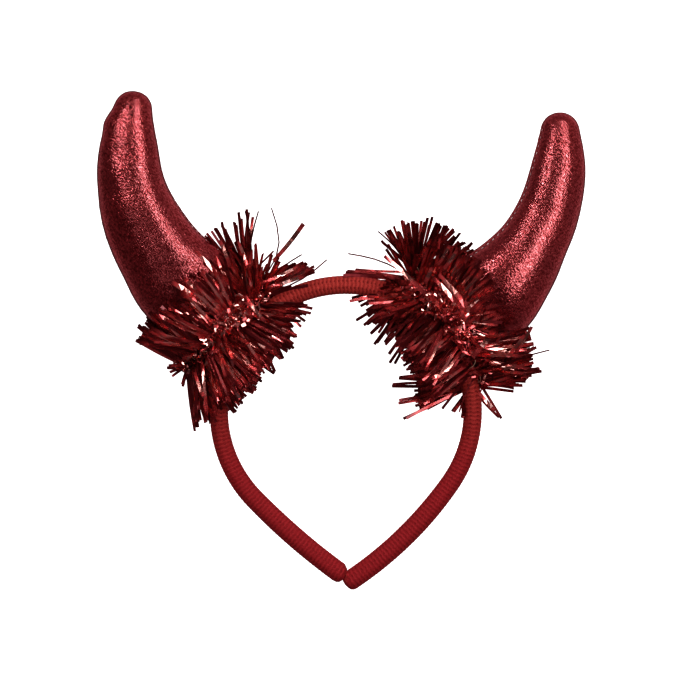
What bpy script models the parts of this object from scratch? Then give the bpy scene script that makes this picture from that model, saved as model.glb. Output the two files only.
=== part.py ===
# A devil horns headband: a cloth-wrapped hair band that carries two stuffed cloth horns,
# with a tinsel garland wound round the foot of each horn.
# It lies flat on a table, the crown of the band towards +Y and the horns pointing away
# from it. The ends of the band touch the table and the feet of the horns hold the crown
# up a little. Lengths are in metres and turns in degrees.

import functools
import math
import random
from collections import namedtuple

import bmesh
import bpy
from mathutils import Matrix, Vector
from mathutils.bvhtree import BVHTree

# Band
HEAD_RADIUS = 0.061          # centre line of the round stretch over the head
BAND_THICKNESS = 0.0088      # seen along the axis of the head
BAND_WIDTH = 0.0100          # across the plane of the band
ARM_SWELL = 0.0011           # added to the thickness at the end of an arm
TIP_ROUNDING = 0.0022        # length over which an end rounds off
END_SHARE = 0.62             # size of the flat that is left there
BAND_SECTION_POWER = 2.4     # 2 is an ellipse, more is boxier
BAND_SIDES = 14
BAND_STEP = 0.0054           # distance between two rings of the band

# Horns
SEAT_TURN = 54.0             # from the crown of the band to the middle of a horn
HORN_DEPTH = 0.0340          # thickest place, from the table up
HORN_PRESS = 0.06            # share of the half depth that the table presses flat
HORN_RISE = 0.030            # length over which a horn climbs to its seat on the band
SEAT_BLEND = 0.012           # length over which a horn turns square to the band
HORN_SIDES = 20
HORN_RINGS = 24
CAP_RINGS = 4                # rings that round off the tip of a horn

# Garlands
CORE_RADIUS = 0.0030
CORE_SQUASHED = 0.0042       # height left for the core between a horn and the table
CORE_RINGS = 22
CORE_SIDES = 8
LOCK_LENGTH = 0.0310
LOCK_WIDTH = 0.0052
LOCK_THICKNESS = 0.0024
LOCK_ROOT = 0.65             # width at the root, as a share of LOCK_WIDTH
LOCK_BELLY = 0.40            # share of LOCK_WIDTH that the middle of a lock gains
LOCK_TAPER = 0.30            # share of LOCK_WIDTH that is lost towards the tip
LOCK_TIP_THICKNESS = 0.5     # share of the thickness that is left at the tip
LOCK_SHORTEST = 0.90         # shortest and longest lock, as shares of the length of its row
LOCK_LONGEST = 1.08
LOCK_STRAY = 0.2             # how far a lock strays along its core, as a share of the spacing
LOCK_STEPS = 3
LOCK_SCATTER = 8.0           # how far a lock strays from its row, in degrees
LOCK_TWIST = 14.0            # how far a lock is turned about its own length, in degrees
LOCK_CLEARANCE = 0.0007      # edges of a lock to other pieces: its flat faces come nearer
LOCK_TRIES = 8               # a lock that still touches something is lifted, up to its thickness
LOCK_PACES = 4               # paces in which a lock feels its way along one of its steps
LOCK_SAMPLES = 6             # places along a step where a lock's clearance is measured
LOCK_LEAST_REACH = 0.6       # share of its length that a lock must get away from its root

CLEARANCE = 0.0003           # between pieces that touch
SHARP_EDGE = 50.0            # an edge that turns more than this is shaded sharp
SPLIT_SAMPLES = 60           # steps used to follow a curved centre line
UP = Vector((0, 0, 1))

# One row for each arm. The arm goes on round the head for round_turn, then turns through
# gentle_turn on a far wider arc. Its end stops tip_share of the thickness before the middle.
Arm = namedtuple("Arm", "side round_turn gentle_turn tip_share")
ARMS = (
    Arm(side=-1, round_turn=44.0, gentle_turn=10.0, tip_share=0.23),
    Arm(side=+1, round_turn=35.0, gentle_turn=22.0, tip_share=0.0),
)

# One row for each horn. The heading is measured from straight up, outwards, and goes from
# foot_turn to tip_turn. A lateness above 1 keeps the foot straight and bends the tip more.
Horn = namedtuple("Horn", "name side length width foot_turn tip_turn lateness outline")

# Rows of an outline: share of the length, then shares of the horn's width and depth there
Girth = namedtuple("Girth", "along width depth")
LEFT_OUTLINE = (
    Girth(0.00, 0.70, 0.62),
    Girth(0.12, 0.97, 0.82),
    Girth(0.25, 1.00, 1.00),
    Girth(0.40, 0.88, 0.96),
    Girth(0.55, 0.80, 0.89),
    Girth(0.70, 0.69, 0.78),
    Girth(0.85, 0.59, 0.66),
    Girth(1.00, 0.37, 0.46),
)
RIGHT_OUTLINE = (
    Girth(0.00, 0.74, 0.62),
    Girth(0.12, 0.92, 0.82),
    Girth(0.25, 1.00, 1.00),
    Girth(0.40, 0.86, 0.92),
    Girth(0.55, 0.72, 0.82),
    Girth(0.70, 0.64, 0.74),
    Girth(0.85, 0.57, 0.66),
    Girth(1.00, 0.40, 0.46),
)
HORNS = (
    Horn("horn_left", -1, 0.1377, 0.0468, 49.3, -9.7, 1.26, LEFT_OUTLINE),
    Horn("horn_right", +1, 0.1257, 0.0436, 47.7, -0.6, 1.24, RIGHT_OUTLINE),
)

# One row for each garland: the horn that it goes round, the distance of its core from the
# centre line of the band, the heading that its ring is square to, and how far its top leans
# back towards the head
Garland = namedtuple("Garland", "name horn at turn lean seed")
GARLANDS = (
    Garland("tinsel_left", HORNS[0], 0.0060, 49.0, 8.0, 1),
    Garland("tinsel_right", HORNS[1], 0.0060, 58.0, 20.0, 2),
)

# Rows of locks on a core: tilt from square to the core towards the horn, share of the length
LockRow = namedtuple("LockRow", "tilt length count")
LOCK_ROWS = (
    LockRow(-80.0, 0.96, 10),
    LockRow(-50.0, 1.00, 10),
    LockRow(-20.0, 1.00, 10),
    LockRow(14.0, 1.00, 10),
    LockRow(46.0, 1.00, 10),
    LockRow(76.0, 0.96, 10),
)

# Finishes: colour, roughness, metallic
Finish = namedtuple("Finish", "colour roughness metallic")
BAND_CLOTH = Finish((0.24, 0.015, 0.014), 0.75, 0.0)
HORN_CLOTH = Finish((0.20, 0.010, 0.014), 0.42, 0.55)
FOIL = Finish((0.26, 0.010, 0.018), 0.22, 0.95)


def smooth(share):
    """A soft step from 0 to 1."""
    share = min(max(share, 0.0), 1.0)
    return share * share * (3.0 - 2.0 * share)


def read_table(rows, column, along):
    """Value of a column of an outline at a share of its length, on a smooth curve."""
    values = [getattr(row, column) for row in rows]
    places = [row.along for row in rows]
    slopes = [(values[i + 1] - values[i]) / (places[i + 1] - places[i])
              for i in range(len(rows) - 1)]
    ends = [slopes[0]] + [
        0.0 if before * after <= 0 else 2 * before * after / (before + after)
        for before, after in zip(slopes, slopes[1:])
    ] + [slopes[-1]]
    along = min(max(along, 0.0), 1.0)
    i = max(k for k in range(len(rows) - 1) if places[k] <= along)
    span = places[i + 1] - places[i]
    t = (along - places[i]) / span
    return (values[i] * (1 + 2 * t) * (1 - t) ** 2 + span * ends[i] * t * (1 - t) ** 2
            + values[i + 1] * t * t * (3 - 2 * t) + span * ends[i + 1] * t * t * (t - 1))


def finish_material(name, finish):
    material = bpy.data.materials.new(name)
    material.use_nodes = True
    shader = material.node_tree.nodes["Principled BSDF"]
    shader.inputs["Base Color"].default_value = (*finish.colour, 1.0)
    shader.inputs["Roughness"].default_value = finish.roughness
    shader.inputs["Metallic"].default_value = finish.metallic
    return material


def add_loft(shape, rings):
    """Skin a row of rings with quads and close both ends."""
    loops = []
    for ring in rings:
        corners = [shape.verts.new(point) for point in ring]
        loops.append([shape.edges.new(pair) for pair in zip(corners, corners[1:] + corners[:1])])
    for near, far in zip(loops, loops[1:]):
        bmesh.ops.bridge_loops(shape, edges=near + far)
    bmesh.ops.holes_fill(shape, edges=loops[0] + loops[-1], sides=0)


def add_object(name, shape, material=None):
    """Turn a bmesh into an object. Without a material it is a guide, kept out of the model."""
    bmesh.ops.recalc_face_normals(shape, faces=shape.faces)
    bmesh.ops.triangulate(shape, faces=shape.faces)  # a Boolean needs flat faces
    mesh = bpy.data.meshes.new(name)
    shape.to_mesh(mesh)
    shape.free()
    piece = bpy.data.objects.new(name, mesh)
    bpy.context.collection.objects.link(piece)
    if material is None:
        piece.hide_render = True
        piece.display_type = "WIRE"
    else:
        mesh.materials.append(material)
        mesh.shade_smooth()
        mesh.set_sharp_from_angle(angle=math.radians(SHARP_EDGE))
    return piece


def combine(piece, other, operation):
    """Cut another object out of a piece, or join it on."""
    boolean = piece.modifiers.new(operation.lower(), "BOOLEAN")
    boolean.operation = operation
    boolean.solver = "EXACT"
    boolean.use_self = operation == "UNION"
    boolean.object = other


# Band: it is drawn in its own plane, x to the side and y towards the crown, then laid down
def arm_line(arm):
    """Centre line of an arm from beside the ear to its end."""
    points = []
    turns = max(round(math.radians(arm.round_turn) * HEAD_RADIUS / BAND_STEP), 1)
    for i in range(1, turns + 1):
        turn = math.radians(arm.round_turn) * i / turns
        points.append((HEAD_RADIUS * math.cos(turn), -HEAD_RADIUS * math.sin(turn)))
    start = math.radians(arm.round_turn)
    bend = math.radians(arm.gentle_turn)
    x, y = points[-1]
    length = (x - arm.tip_share * BAND_THICKNESS) * bend / (math.cos(start) - math.cos(start + bend))
    steps = max(round((length - TIP_ROUNDING) / BAND_STEP), 2)
    places = [(length - TIP_ROUNDING) * i / steps for i in range(1, steps + 1)] + [length]
    for place in places:
        turned = start + bend * place / length
        points.append((
            x - length / bend * (math.cos(start) - math.cos(turned)),
            y - length / bend * (math.sin(turned) - math.sin(start)),
        ))
    return [Vector((arm.side * u, v, 0.0)) for u, v in points]


def band_line():
    """Centre line of the whole band, from the left end over the crown to the right end."""
    left, right = (arm_line(arm) for arm in ARMS)
    steps = 2 * round(math.pi * HEAD_RADIUS / BAND_STEP / 2) + 1
    turns = [math.pi * i / steps for i in range(steps + 1)]
    crown = [Vector((-math.cos(turn), math.sin(turn), 0.0)) * HEAD_RADIUS for turn in turns]
    return left[::-1] + crown + right


def band_section(half_thickness, half_width):
    """Rounded outline of the band, outwards and up, with one flat side towards the head."""
    outline = []
    for i in range(BAND_SIDES):
        turn = 2 * math.pi * (i + 0.5) / BAND_SIDES
        along, up = -math.cos(turn), math.sin(turn)
        outline.append((
            half_thickness * math.copysign(abs(along) ** (2 / BAND_SECTION_POWER), along),
            half_width * math.copysign(abs(up) ** (2 / BAND_SECTION_POWER), up),
        ))
    return outline


def band_rings(grow=0.0):
    """Rings of the band in its plane. A cutter for the seats of the horns is the same, but larger."""
    line = band_line()
    rings = []
    for i, point in enumerate(line):
        ahead = (line[min(i + 1, len(line) - 1)] - line[max(i - 1, 0)]).normalized()
        outward = Vector((-ahead.y, ahead.x, 0.0))
        below_ear = min(max(-point.y / HEAD_RADIUS, 0.0), 1.0)
        half_thickness = (BAND_THICKNESS + ARM_SWELL * smooth(below_ear)) / 2 + grow
        fit = END_SHARE if i in (0, len(line) - 1) else 1.0
        rings.append([point + (outward * out + Vector((0, 0, up))) * fit
                      for out, up in band_section(half_thickness, BAND_WIDTH / 2 + grow)])
    return rings


@functools.cache
def laid_down():
    """Matrix that lays the band's plane down, its ends on the table and the seats raised."""
    seat = HEAD_RADIUS * math.cos(math.radians(SEAT_TURN))
    end = min(point.y for point in band_line())
    foot = min(horn.outline[0].depth for horn in HORNS) * HORN_DEPTH / 2
    raised = foot + CLEARANCE + CORE_SQUASHED - BAND_WIDTH / 2
    tilt = Matrix.Rotation(math.asin(raised / (seat - end)), 4, "X")
    lowest = min((tilt @ point).z for ring in band_rings() for point in ring)
    return Matrix.Translation((0, 0, -lowest)) @ tilt


# Horns: a stuffed cloth cone that starts astride the band and lies down on the table
def horn_heading(horn, along):
    """Heading of the horn's centre line at a distance from its foot, in radians."""
    turned = smooth((along / horn.length) ** horn.lateness)
    return math.radians(horn.foot_turn + (horn.tip_turn - horn.foot_turn) * turned)


def horn_half(horn, along):
    """Half width and half depth of a horn at a distance from its foot."""
    tip = horn.outline[-1].width * horn.width / 2
    share = along / (horn.length - tip)
    cap = math.sqrt(max(1 - max((along - horn.length + tip) / tip, 0.0) ** 2, 0.0))
    width = read_table(horn.outline, "width", share) * horn.width / 2
    depth = read_table(horn.outline, "depth", share) * HORN_DEPTH / 2
    return width * cap, depth * cap


def horn_centre(horn, along):
    """Centre of the horn's section at a distance from its foot."""
    seat = math.radians(SEAT_TURN)
    foot = laid_down() @ (Vector((horn.side * math.sin(seat), math.cos(seat), 0.0)) * HEAD_RADIUS)
    place = Vector((foot.x, foot.y))
    step = along / SPLIT_SAMPLES
    for i in range(SPLIT_SAMPLES):
        heading = horn_heading(horn, (i + 0.5) * step)
        place += Vector((horn.side * math.sin(heading), math.cos(heading))) * step
    # A horn's tip is round, so the height that its depth asks for is taken before the cap
    lying = read_table(horn.outline, "depth", along / horn.length) * HORN_DEPTH / 2 * (1 - HORN_PRESS)
    foot_lying = horn.outline[0].depth * HORN_DEPTH / 2 * (1 - HORN_PRESS)
    height = lying + (foot.z - foot_lying) * (1 - smooth(along / HORN_RISE))
    return Vector((place.x, place.y, height))


def horn_across(horn, along):
    """Direction across a horn's section, square to the band at the foot."""
    heading = horn_heading(horn, along)
    at_foot = math.radians(SEAT_TURN) - horn_heading(horn, 0.0)
    turn = heading + at_foot * (1 - smooth(along / SEAT_BLEND))
    return Vector((math.cos(turn), -horn.side * math.sin(turn), 0.0))


def horn_ring(horn, along):
    centre = horn_centre(horn, along)
    across = horn_across(horn, along)
    half_width, half_depth = horn_half(horn, along)
    ring = []
    for i in range(HORN_SIDES):
        turn = 2 * math.pi * i / HORN_SIDES
        point = centre + across * half_width * math.cos(turn)
        point.z = max(point.z + half_depth * math.sin(turn), 0.0)
        ring.append(point)
    return ring


def build_horn(horn, seat_cutter):
    tip = horn.outline[-1].width * horn.width / 2
    body = horn.length - tip
    places = [body * i / HORN_RINGS for i in range(HORN_RINGS + 1)]
    places += [body + tip * math.sin(math.pi / 2 * i / (CAP_RINGS + 1)) for i in range(1, CAP_RINGS + 1)]
    shape = bmesh.new()
    add_loft(shape, [horn_ring(horn, along) for along in places])
    piece = add_object(horn.name, shape, finish_material(horn.name, HORN_CLOTH))
    combine(piece, seat_cutter, "DIFFERENCE")
    return piece


# Garlands: a ring round the foot of a horn with locks of foil strips that stand out all round
def surface_of(piece):
    """Search tree of a piece's surface, as its modifiers leave it."""
    depsgraph = bpy.context.evaluated_depsgraph_get()
    return BVHTree.FromObject(piece.evaluated_get(depsgraph), depsgraph)


def is_inside(point, surface):
    """A ray that starts inside a closed surface first meets the back of a face."""
    _, normal, _, _ = surface.ray_cast(point, UP)
    return normal is not None and normal.dot(UP) > 0


def settle(point, surfaces, margin):
    """Move a point away from a surface that it is in or near, and up from the table."""
    for surface in surfaces:
        hit, _, _, distance = surface.find_nearest(point)
        if is_inside(point, surface):
            point = hit + (hit - point).normalized() * margin
        elif distance < margin:
            point = hit + (point - hit).normalized() * margin
    return Vector((point.x, point.y, max(point.z, margin)))


def is_clear(point, surfaces, margin):
    if point.z < 0:
        return False
    return all(surface.find_nearest(point)[3] > margin and not is_inside(point, surface)
               for surface in surfaces)


def ring_axes(garland):
    """Across and up the plane of a garland's ring, and square to it, towards the horn."""
    turn, lean = math.radians(garland.turn), math.radians(garland.lean)
    level = Vector((garland.horn.side * math.sin(turn), math.cos(turn), 0.0))
    across = Vector((level.y, -level.x, 0.0))
    rise = UP * math.cos(lean) - level * math.sin(lean)
    forward = level * math.cos(lean) + UP * math.sin(lean)
    return across, rise, forward


def ring_place(garland, turn):
    """Directions from the middle of a ring to its core, out of the horn, and forwards."""
    across, rise, forward = ring_axes(garland)
    half_width, half_depth = horn_half(garland.horn, garland.at)
    ray = across * half_width * math.cos(turn) + rise * half_depth * math.sin(turn)
    outward = across * math.cos(turn) / half_width + rise * math.sin(turn) / half_depth
    return ray.normalized(), outward.normalized(), forward


def core_centre(garland, turn, surfaces):
    """Centre of the core at a turn round the horn, clear of the horn and the band."""
    ray, _, _ = ring_place(garland, turn)
    outside = horn_centre(garland.horn, garland.at) + ray * garland.horn.width
    hit, _, _, _ = surfaces[0].ray_cast(outside, -ray)
    place = hit + ray * (CORE_RADIUS + CLEARANCE)
    for surface in surfaces:
        hit, _, _, distance = surface.find_nearest(place)
        if distance < CORE_RADIUS + CLEARANCE:
            place = hit + (place - hit).normalized() * (CORE_RADIUS + CLEARANCE)
    return place


def core_ring(garland, turn, surfaces):
    centre = core_centre(garland, turn, surfaces)
    _, outward, forward = ring_place(garland, turn)
    ring = []
    for i in range(CORE_SIDES):
        side = 2 * math.pi * (i + 0.5) / CORE_SIDES
        point = centre + (outward * math.cos(side) + forward * math.sin(side)) * CORE_RADIUS
        ring.append(Vector((point.x, point.y, max(point.z, 0.0))))
    return ring


def lock_heading(garland, turn, tilt, fall_room, length):
    """Direction in which a lock leaves its core, no steeper than the table allows."""
    _, outward, forward = ring_place(garland, turn)
    heading = outward * math.cos(tilt) + forward * math.sin(tilt)
    rise = max(heading.z, -fall_room / length)
    level = Vector((heading.x, heading.y, 0.0)).normalized()
    return level * math.sqrt(1 - rise * rise) + UP * rise


def lock_line(root, heading, length, lift, surfaces):
    """Middle line of a lock that leaves its root straight and slides along what it meets."""
    line = [root]
    step = length / LOCK_STEPS
    for _ in range(LOCK_STEPS):
        place = line[-1]
        for _ in range(LOCK_PACES):
            ahead = settle(place + heading * step / LOCK_PACES, surfaces, lift)
            heading = (heading + (ahead - place).normalized()).normalized()
            place = ahead
        line.append(place)
    return line


def lying_side(point, ahead, side, surfaces):
    """Direction across a lock: square to its core, but flat on a surface that it lies on."""
    near, normal = point.z, UP
    for surface in surfaces:
        hit, _, _, distance = surface.find_nearest(point)
        if distance < near:
            near, normal = distance, (point - hit).normalized()
    lying = ahead.cross(normal)
    if lying.dot(side) < 0:
        lying.negate()
    side = lying.lerp(side, smooth(near / LOCK_WIDTH - 0.5))
    return (side - ahead * side.dot(ahead)).normalized()


def lock_rings(line, side, twist, surfaces):
    """Rings of a flat lock that is widest at its middle and ends in a narrow tip."""
    rings = []
    for i, point in enumerate(line):
        ahead = (line[min(i + 1, LOCK_STEPS)] - line[max(i - 1, 0)]).normalized()
        side = lying_side(point, ahead, side, surfaces)
        share = i / LOCK_STEPS
        half = LOCK_WIDTH / 2 * (LOCK_ROOT + LOCK_BELLY * math.sin(math.pi * share) - LOCK_TAPER * share)
        thick = LOCK_THICKNESS / 2 * (1 - (1 - LOCK_TIP_THICKNESS) * share)
        turned = Matrix.Rotation(twist, 3, ahead) @ side
        rings.append([point + turned * half * a + ahead.cross(turned) * thick * b
                      for a, b in ((1, 1), (-1, 1), (-1, -1), (1, -1))])
    return rings


def lock_samples(rings):
    """Points spread over the edges and the middle of a lock, apart from its root in the core."""
    for near, far in zip(rings, rings[1:]):
        for i in range(1, LOCK_SAMPLES + 1):
            ring = [a.lerp(b, i / LOCK_SAMPLES) for a, b in zip(near, far)]
            yield from ring
            yield sum(ring, Vector()) / len(ring)


def place_lock(garland, turn, tilt, twist, length, surfaces):
    """Rings of a lock, lifted until it is clear of all it lies on. None if it finds no room."""
    _, outward, forward = ring_place(garland, turn)
    lift = LOCK_THICKNESS / 2 + LOCK_CLEARANCE
    root = core_centre(garland, turn, surfaces)
    root.z = max(root.z, lift)
    for _ in range(LOCK_TRIES):
        heading = lock_heading(garland, turn, tilt, root.z - lift, length)
        line = lock_line(root, heading, length, lift, surfaces)
        rings = lock_rings(line, outward.cross(forward), twist, surfaces)
        reach = (line[-1] - root).length
        if reach > length * LOCK_LEAST_REACH and all(
                is_clear(point, surfaces, LOCK_CLEARANCE) for point in lock_samples(rings)):
            return rings
        lift += LOCK_THICKNESS / LOCK_TRIES
    return None


def build_core(garland, surfaces):
    core = bmesh.new()
    loops = []
    for i in range(CORE_RINGS):
        ring = core_ring(garland, 2 * math.pi * i / CORE_RINGS, surfaces)
        corners = [core.verts.new(point) for point in ring]
        loops.append([core.edges.new(pair) for pair in zip(corners, corners[1:] + corners[:1])])
    for near, far in zip(loops, loops[1:] + loops[:1]):
        bmesh.ops.bridge_loops(core, edges=near + far)
    return core


def build_garland(garland, surfaces):
    """A core with rows of locks. A lock that would have no room is left out."""
    scatter = random.Random(garland.seed)
    core = build_core(garland, surfaces)
    piece = add_object(garland.name, core, finish_material(garland.name, FOIL))
    for k, row in enumerate(LOCK_ROWS):
        locks = bmesh.new()
        for i in range(row.count):
            offset = 0.5 * (k % 2) + scatter.uniform(-LOCK_STRAY, LOCK_STRAY)
            turn = 2 * math.pi * (i + offset) / row.count
            tilt = math.radians(row.tilt + scatter.uniform(-LOCK_SCATTER, LOCK_SCATTER))
            twist = math.radians(scatter.uniform(-LOCK_TWIST, LOCK_TWIST))
            length = LOCK_LENGTH * row.length * scatter.uniform(LOCK_SHORTEST, LOCK_LONGEST)
            rings = place_lock(garland, turn, tilt, twist, length, surfaces)
            if rings:
                add_loft(locks, rings)
        combine(piece, add_object(f"{garland.name}_row_{k + 1}", locks), "UNION")
    return piece


def set_on_origin():
    """Put the middle of the headband's box over the origin. It stands on z = 0 already."""
    corners = [vertex.co for piece in bpy.data.objects if piece.name != "seat_cutter"
               for vertex in piece.data.vertices]
    for piece in bpy.data.objects:
        piece.location.x = -(min(c.x for c in corners) + max(c.x for c in corners)) / 2
        piece.location.y = -(min(c.y for c in corners) + max(c.y for c in corners)) / 2


def main():
    for old in list(bpy.data.objects):
        bpy.data.objects.remove(old, do_unlink=True)
    band = bmesh.new()
    add_loft(band, [[laid_down() @ point for point in ring] for ring in band_rings()])
    headband = add_object("headband", band, finish_material("headband", BAND_CLOTH))
    cutter = bmesh.new()
    add_loft(cutter, [[laid_down() @ point for point in ring] for ring in band_rings(CLEARANCE)])
    seat_cutter = add_object("seat_cutter", cutter)
    for garland in GARLANDS:
        horn = build_horn(garland.horn, seat_cutter)
        build_garland(garland, [surface_of(horn), surface_of(headband)])
    set_on_origin()


main()
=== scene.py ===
# %% [markdown]
# # A devil horns headband, dressed for a studio picture
#
# The headband lies on its back on a pale table: a springy hoop wrapped in ribbed red cloth,
# two stuffed horns of shiny red cloth, and a tinsel garland wound round the foot of each horn.
# Its solids are made elsewhere, and here they are loaded as a fixed frame. Everything in this
# lesson is built round them, in metres, with +Z up. The box of the solids is kept.

# %% Load the frame
import math
import random
from collections import namedtuple

import bpy
import numpy as np
from mathutils import Matrix, Vector
from mathutils.bvhtree import BVHTree


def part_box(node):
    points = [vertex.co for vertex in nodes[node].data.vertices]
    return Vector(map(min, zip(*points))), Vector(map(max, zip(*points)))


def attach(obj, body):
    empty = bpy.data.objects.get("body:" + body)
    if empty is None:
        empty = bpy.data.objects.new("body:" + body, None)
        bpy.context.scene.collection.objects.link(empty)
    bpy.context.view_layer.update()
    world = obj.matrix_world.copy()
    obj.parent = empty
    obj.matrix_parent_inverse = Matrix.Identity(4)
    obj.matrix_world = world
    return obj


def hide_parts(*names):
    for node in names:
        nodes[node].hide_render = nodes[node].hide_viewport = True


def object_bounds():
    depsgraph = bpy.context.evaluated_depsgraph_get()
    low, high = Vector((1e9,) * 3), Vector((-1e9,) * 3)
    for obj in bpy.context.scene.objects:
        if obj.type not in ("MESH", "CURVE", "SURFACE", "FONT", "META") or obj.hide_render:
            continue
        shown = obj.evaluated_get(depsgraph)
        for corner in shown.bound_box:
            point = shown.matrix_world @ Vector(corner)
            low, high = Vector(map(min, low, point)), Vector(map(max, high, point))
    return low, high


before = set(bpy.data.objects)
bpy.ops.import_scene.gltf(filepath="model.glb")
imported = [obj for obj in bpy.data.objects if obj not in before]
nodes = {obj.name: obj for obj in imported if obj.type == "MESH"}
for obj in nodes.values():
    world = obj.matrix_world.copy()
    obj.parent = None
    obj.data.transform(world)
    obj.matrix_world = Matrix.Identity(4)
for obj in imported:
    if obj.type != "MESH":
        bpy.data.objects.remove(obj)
solid_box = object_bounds()
print("solids:", sorted(nodes), "box:", [round(length, 4) for length in solid_box[1] - solid_box[0]])

# %% [markdown]
# ## From the photo to the table
#
# The photo looks straight down, so a pixel is a place on the table. One pixel is 0.48 mm there,
# which makes the band as wide as an adult's. Where a strand or a dent has to lie just where the
# photo shows it, its pixel is written down, and this helper turns it into a place in metres.

# %% Pixels to metres
PIXEL = 0.00048
PIXEL_OVER_ORIGIN = (341.0, 341.0)
MM = 0.001
UP = Vector((0.0, 0.0, 1.0))


def spot(across, down, height=0.0):
    """Place of a pixel of the photo, at a height above the table."""
    return Vector(((across - PIXEL_OVER_ORIGIN[0]) * PIXEL,
                   (PIXEL_OVER_ORIGIN[1] - down) * PIXEL, height))


# %% [markdown]
# ## Camera
#
# A picture from straight above has no vanishing point of its own. A long lens from far away
# keeps the sides of the horns out of sight, as in the photo, and still is a real camera.

# %% Set up the camera
PHOTO_WIDTH = 700
CAMERA_HEIGHT = 2.5
SENSOR = 36.0
middle = spot(PHOTO_WIDTH / 2, PHOTO_WIDTH / 2)
mid_height = solid_box[1].z / 4
camera = bpy.data.objects.new("camera", bpy.data.cameras.new("camera"))
bpy.context.collection.objects.link(camera)
camera.location = (middle.x, middle.y, mid_height + CAMERA_HEIGHT)
camera.data.sensor_width = SENSOR
camera.data.lens = SENSOR * CAMERA_HEIGHT / (PHOTO_WIDTH * PIXEL)
bpy.context.scene.camera = camera
print("lens:", round(camera.data.lens, 1), "mm")

# %% [markdown]
# ## Light
#
# Shiny cloth and foil look like what they mirror. The bright ridge that runs down each horn is
# a long softbox to the right, about 30 degrees off straight up. The broken, weaker ridge beside
# it is a thinner one to the left. Both reach far past the tips and end over the arms, which
# leaves the outer sides of the horns dark near their feet. A small one past the tips, on the left,
# gives the bright patch on each tip and the one low on the right horn. The last one is wide and
# hangs nearly overhead. It lights only the matt cloth: no mirror shows it.

# %% Place the softboxes
Softbox = namedtuple("Softbox", "name lean distance shift width length power mirrored")
SOFTBOXES = (
    Softbox("key_softbox", 29.0, 1.3, 1.91, 0.24, 4.3, 12.4, True),
    Softbox("fill_softbox", -21.0, 1.3, 1.65, 0.06, 3.9, 1.1, True),
    Softbox("tip_softbox", -36.0, 1.3, 0.98, 0.22, 0.30, 2.2, True),
    Softbox("matt_softbox", -12.0, 1.4, 0.20, 1.00, 1.0, 4.0, False),
)


def place_softbox(box):
    """Hang a softbox over the table, leaning to the +X side, and long along Y."""
    light = bpy.data.lights.new(box.name, "AREA")
    light.shape = "RECTANGLE"
    light.size = box.width
    light.size_y = box.length
    light.energy = box.power
    holder = bpy.data.objects.new(box.name, light)
    bpy.context.collection.objects.link(holder)
    holder.visible_glossy = box.mirrored
    lean = math.radians(box.lean)
    holder.rotation_euler = (0.0, lean, 0.0)
    holder.location = (middle.x + math.sin(lean) * box.distance, middle.y + box.shift,
                       math.cos(lean) * box.distance)


for box in SOFTBOXES:
    place_softbox(box)
    print(box.name, "at", box.lean, "degrees from straight up")

# %% [markdown]
# ## Shader helper
#
# Materials are node trees, and sums of nodes are hard to read as clicks. Here a wire is a
# socket that knows Python's own operators: `1 - mask * 0.5` adds two Math nodes and returns
# the wire that comes out of them. Every other node comes from one method, which takes the
# node's type, its settings and what goes into its sockets.


# %% A wire that knows arithmetic
class Wire:
    """A socket in a tree of nodes. Arithmetic on it adds Math nodes."""

    def __init__(self, tree, socket):
        self.tree = tree
        self.socket = socket

    def maths(self, operation, *others):
        """A Math node whose first value is this one."""
        return self.tree.node("ShaderNodeMath", {"operation": operation},
                              dict(enumerate((self, *others))))

    def __add__(self, other):
        return self.maths("ADD", other)

    def __sub__(self, other):
        return self.maths("SUBTRACT", other)

    def __rsub__(self, other):
        return self.maths("MULTIPLY_ADD", -1.0, other)

    def __mul__(self, other):
        return self.maths("MULTIPLY", other)

    def __truediv__(self, other):
        return self.maths("DIVIDE", other)

    __radd__ = __add__
    __rmul__ = __mul__

    def wave(self):
        """Sine of the value, from 0 to 1."""
        return self.maths("SINE") * 0.5 + 0.5

    def ramp(self, low, high):
        """A soft step from 0 to 1 while the value goes from low to high."""
        return self.tree.node("ShaderNodeMapRange", {"interpolation_type": "SMOOTHSTEP"},
                              {0: self, 1: low, 2: high})


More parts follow.
